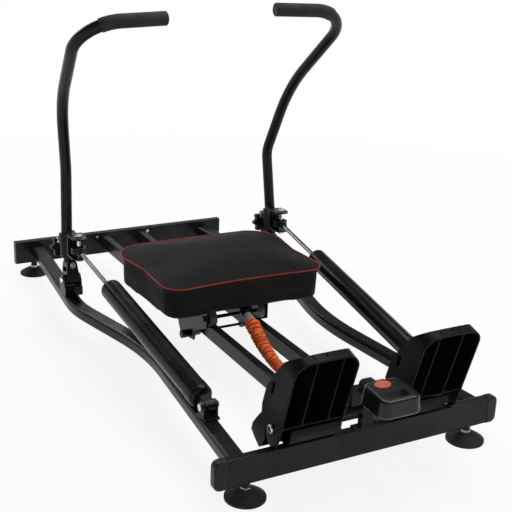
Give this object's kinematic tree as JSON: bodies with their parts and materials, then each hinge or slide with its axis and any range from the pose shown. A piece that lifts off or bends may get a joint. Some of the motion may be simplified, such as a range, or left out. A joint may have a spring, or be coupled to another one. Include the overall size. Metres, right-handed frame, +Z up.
{
  "type": "hydraulic rowing machine",
  "caption": "Low rowing exerciser with a rolling cushioned seat on a steel frame and bent arms that work hydraulic cylinders.",
  "frame": {"origin": "floor level under the centre of the machine's footprint", "axes": "+Z up, +Y to the rear bar behind the seat, -Y to the foot plates, +X to the right seen from the foot plates"},
  "size_m": [0.6468, 1.3303, 0.7525],
  "materials": {
    "frame_paint": "satin",
    "cylinder_paint": "satin",
    "chrome": "polished",
    "zinc_steel": "satin",
    "black_plastic": "satin",
    "pedal_plastic": "matte",
    "roller_plastic": "matte",
    "button_plastic": "gloss",
    "display_glass": "gloss",
    "foot_rubber": "matte",
    "grip_foam": "matte",
    "strap_rubber": "matte",
    "sleeve_fabric": "matte",
    "seat_vinyl": "satin"
  },
  "bodies": {
    "frame": {"front_crossbar": "frame_paint", "rear_crossbar": "frame_paint", "end_caps": "black_plastic", "left_side_rail": "frame_paint", "right_side_rail": "frame_paint", "left_center_rail": "frame_paint", "right_center_rail": "frame_paint", "frame_bolts": "zinc_steel", "foot_nuts": "chrome", "arm_brackets": "frame_paint", "arm_pivot_bolts": "chrome", "cylinder_brackets": "frame_paint", "pedal_axle": "chrome", "counter_post": "frame_paint", "counter_case": "black_plastic", "counter_display": "display_glass", "strap_anchor": "frame_paint", "return_strap": "strap_rubber", "strap_sleeve": "sleeve_fabric"},
    "front_left_foot": {"front_left_foot": "foot_rubber"},
    "front_right_foot": {"front_right_foot": "foot_rubber"},
    "rear_left_foot": {"rear_left_foot": "foot_rubber"},
    "rear_right_foot": {"rear_right_foot": "foot_rubber"},
    "button": {"counter_button": "button_plastic"},
    "left_pedal": {"left_foot_plate": "pedal_plastic"},
    "left_block": {"left_arm_block": "frame_paint", "left_tilt_bolt": "chrome"},
    "left_arm": {"left_arm_tube": "frame_paint", "left_grip": "grip_foam", "left_arm_clamp": "frame_paint", "left_clamp_bolts": "chrome"},
    "left_knob": {"left_star_knob": "black_plastic"},
    "left_swivel": {"left_swivel_fork": "frame_paint", "left_swivel_bolt": "chrome"},
    "left_cylinder_body": {"left_cylinder": "cylinder_paint"},
    "left_rod": {"left_piston_rod": "chrome", "left_rod_eye": "frame_paint"},
    "right_pedal": {"right_foot_plate": "pedal_plastic"},
    "right_block": {"right_arm_block": "frame_paint", "right_tilt_bolt": "chrome"},
    "right_arm": {"right_arm_tube": "frame_paint", "right_grip": "grip_foam", "right_arm_clamp": "frame_paint", "right_clamp_bolts": "chrome"},
    "right_knob": {"right_star_knob": "black_plastic"},
    "right_swivel": {"right_swivel_fork": "frame_paint", "right_swivel_bolt": "chrome"},
    "right_cylinder_body": {"right_cylinder": "cylinder_paint"},
    "right_rod": {"right_piston_rod": "chrome", "right_rod_eye": "frame_paint"},
    "seat": {"seat_cushion": "seat_vinyl", "seat_pan": "black_plastic", "seat_carriage": "frame_paint", "roller_axles": "chrome"},
    "front_rollers_wheels": {"front_rollers": "roller_plastic"},
    "rear_rollers_wheels": {"rear_rollers": "roller_plastic"},
    "guide_rollers_wheels": {"guide_rollers": "roller_plastic"},
    "lock": {"lock_knob": "black_plastic"}
  },
  "joints": [
    {"name": "front_left_foot_height", "type": "slide", "parent": "frame", "child": "front_left_foot", "axis": [0, 0, -1], "range_m": [0, 0.01]},
    {"name": "front_right_foot_height", "type": "slide", "parent": "frame", "child": "front_right_foot", "axis": [0, 0, -1], "range_m": [0, 0.01]},
    {"name": "rear_left_foot_height", "type": "slide", "parent": "frame", "child": "rear_left_foot", "axis": [0, 0, -1], "range_m": [0, 0.01]},
    {"name": "rear_right_foot_height", "type": "slide", "parent": "frame", "child": "rear_right_foot", "axis": [0, 0, -1], "range_m": [0, 0.01]},
    {"name": "button_press", "type": "slide", "parent": "frame", "child": "button", "axis": [0, 0.0872, -0.9962], "range_m": [0, 0.001], "stiffness_N_per_m": 300},
    {"name": "left_pedal_pivot", "type": "hinge", "parent": "frame", "child": "left_pedal", "pos_m": [-0.1275, -0.55763, 0.121], "axis": [1, 0, 0], "range_deg": [-25, 30]},
    {"name": "left_arm_swing", "type": "hinge", "parent": "frame", "child": "left_block", "pos_m": [-0.265, 0.26238, 0.113], "axis": [1, 0, 0], "range_deg": [-24, 20]},
    {"name": "left_arm_tilt", "type": "hinge", "parent": "left_block", "child": "left_arm", "pos_m": [-0.265, 0.26784, 0.14818], "axis": [0, 0.9882, -0.1534], "range_deg": [-8, 8]},
    {"name": "left_knob_turn", "type": "hinge", "parent": "left_arm", "child": "left_knob", "pos_m": [-0.26715, 0.27357, 0.1851], "axis": [0, 0.9882, -0.1534], "continuous": true},
    {"name": "left_swivel_turn", "type": "hinge", "parent": "frame", "child": "left_swivel", "pos_m": [-0.236, -0.40863, 0.102], "axis": [0, 0, 1], "range_deg": [-0.54, 0.54]},
    {"name": "left_cylinder_swing", "type": "hinge", "parent": "left_swivel", "child": "left_cylinder_body", "pos_m": [-0.236, -0.40863, 0.102], "axis": [1, 0, 0], "range_deg": [-0.82, 0.98]},
    {"name": "left_rod_slide", "type": "slide", "parent": "left_cylinder_body", "child": "left_rod", "axis": [-0.0412, 0.9872, 0.1542], "range_m": [-0.03515, 0.04218]},
    {"name": "right_pedal_pivot", "type": "hinge", "parent": "frame", "child": "right_pedal", "pos_m": [0.1275, -0.55763, 0.121], "axis": [1, 0, 0], "range_deg": [-25, 30]},
    {"name": "right_arm_swing", "type": "hinge", "parent": "frame", "child": "right_block", "pos_m": [0.265, 0.26238, 0.113], "axis": [1, 0, 0], "range_deg": [-24, 20]},
    {"name": "right_arm_tilt", "type": "hinge", "parent": "right_block", "child": "right_arm", "pos_m": [0.265, 0.26952, 0.14788], "axis": [0, 0.9796, -0.2008], "range_deg": [-8, 8]},
    {"name": "right_knob_turn", "type": "hinge", "parent": "right_arm", "child": "right_knob", "pos_m": [0.26715, 0.27703, 0.18448], "axis": [0, 0.9796, -0.2008], "continuous": true},
    {"name": "right_swivel_turn", "type": "hinge", "parent": "frame", "child": "right_swivel", "pos_m": [0.236, -0.40863, 0.102], "axis": [0, 0, 1], "range_deg": [-0.54, 0.54]},
    {"name": "right_cylinder_swing", "type": "hinge", "parent": "right_swivel", "child": "right_cylinder_body", "pos_m": [0.236, -0.40863, 0.102], "axis": [1, 0, 0], "range_deg": [-0.82, 0.98]},
    {"name": "right_rod_slide", "type": "slide", "parent": "right_cylinder_body", "child": "right_rod", "axis": [0.0409, 0.9868, 0.1566], "range_m": [-0.03515, 0.04218]},
    {"name": "seat_slide", "type": "slide", "parent": "frame", "child": "seat", "axis": [0, 1, 0], "range_m": [-0.2, 0.42], "deforming": ["return_strap", "strap_sleeve"]},
    {"name": "front_rollers_spin", "type": "hinge", "parent": "seat", "child": "front_rollers_wheels", "pos_m": [0, -0.05262, 0.1043], "axis": [1, 0, 0], "continuous": true},
    {"name": "rear_rollers_spin", "type": "hinge", "parent": "seat", "child": "rear_rollers_wheels", "pos_m": [0, 0.12237, 0.1043], "axis": [1, 0, 0], "continuous": true},
    {"name": "guide_rollers_spin", "type": "hinge", "parent": "seat", "child": "guide_rollers_wheels", "pos_m": [0, 0.01837, 0.0436], "axis": [1, 0, 0], "continuous": true},
    {"name": "lock_knob_turn", "type": "hinge", "parent": "seat", "child": "lock", "pos_m": [-0.075, 0.03338, 0.036], "axis": [1, 0, 0], "continuous": true}
  ],
  "couplings": [
    {"joint": "left_swivel_turn", "follows": "left_arm_tilt", "ratio": -0.0678},
    {"joint": "left_cylinder_swing", "follows": "left_arm_swing", "ratio": -0.0409},
    {"joint": "left_rod_slide", "follows": "left_arm_swing", "m_per_rad": -0.1007},
    {"joint": "right_swivel_turn", "follows": "right_arm_tilt", "ratio": -0.06735},
    {"joint": "right_cylinder_swing", "follows": "right_arm_swing", "ratio": -0.0409},
    {"joint": "right_rod_slide", "follows": "right_arm_swing", "m_per_rad": -0.1007},
    {"joint": "front_rollers_spin", "follows": "seat_slide", "rad_per_m": -57.143},
    {"joint": "rear_rollers_spin", "follows": "seat_slide", "rad_per_m": -57.143},
    {"joint": "guide_rollers_spin", "follows": "seat_slide", "rad_per_m": 125}
  ]
}
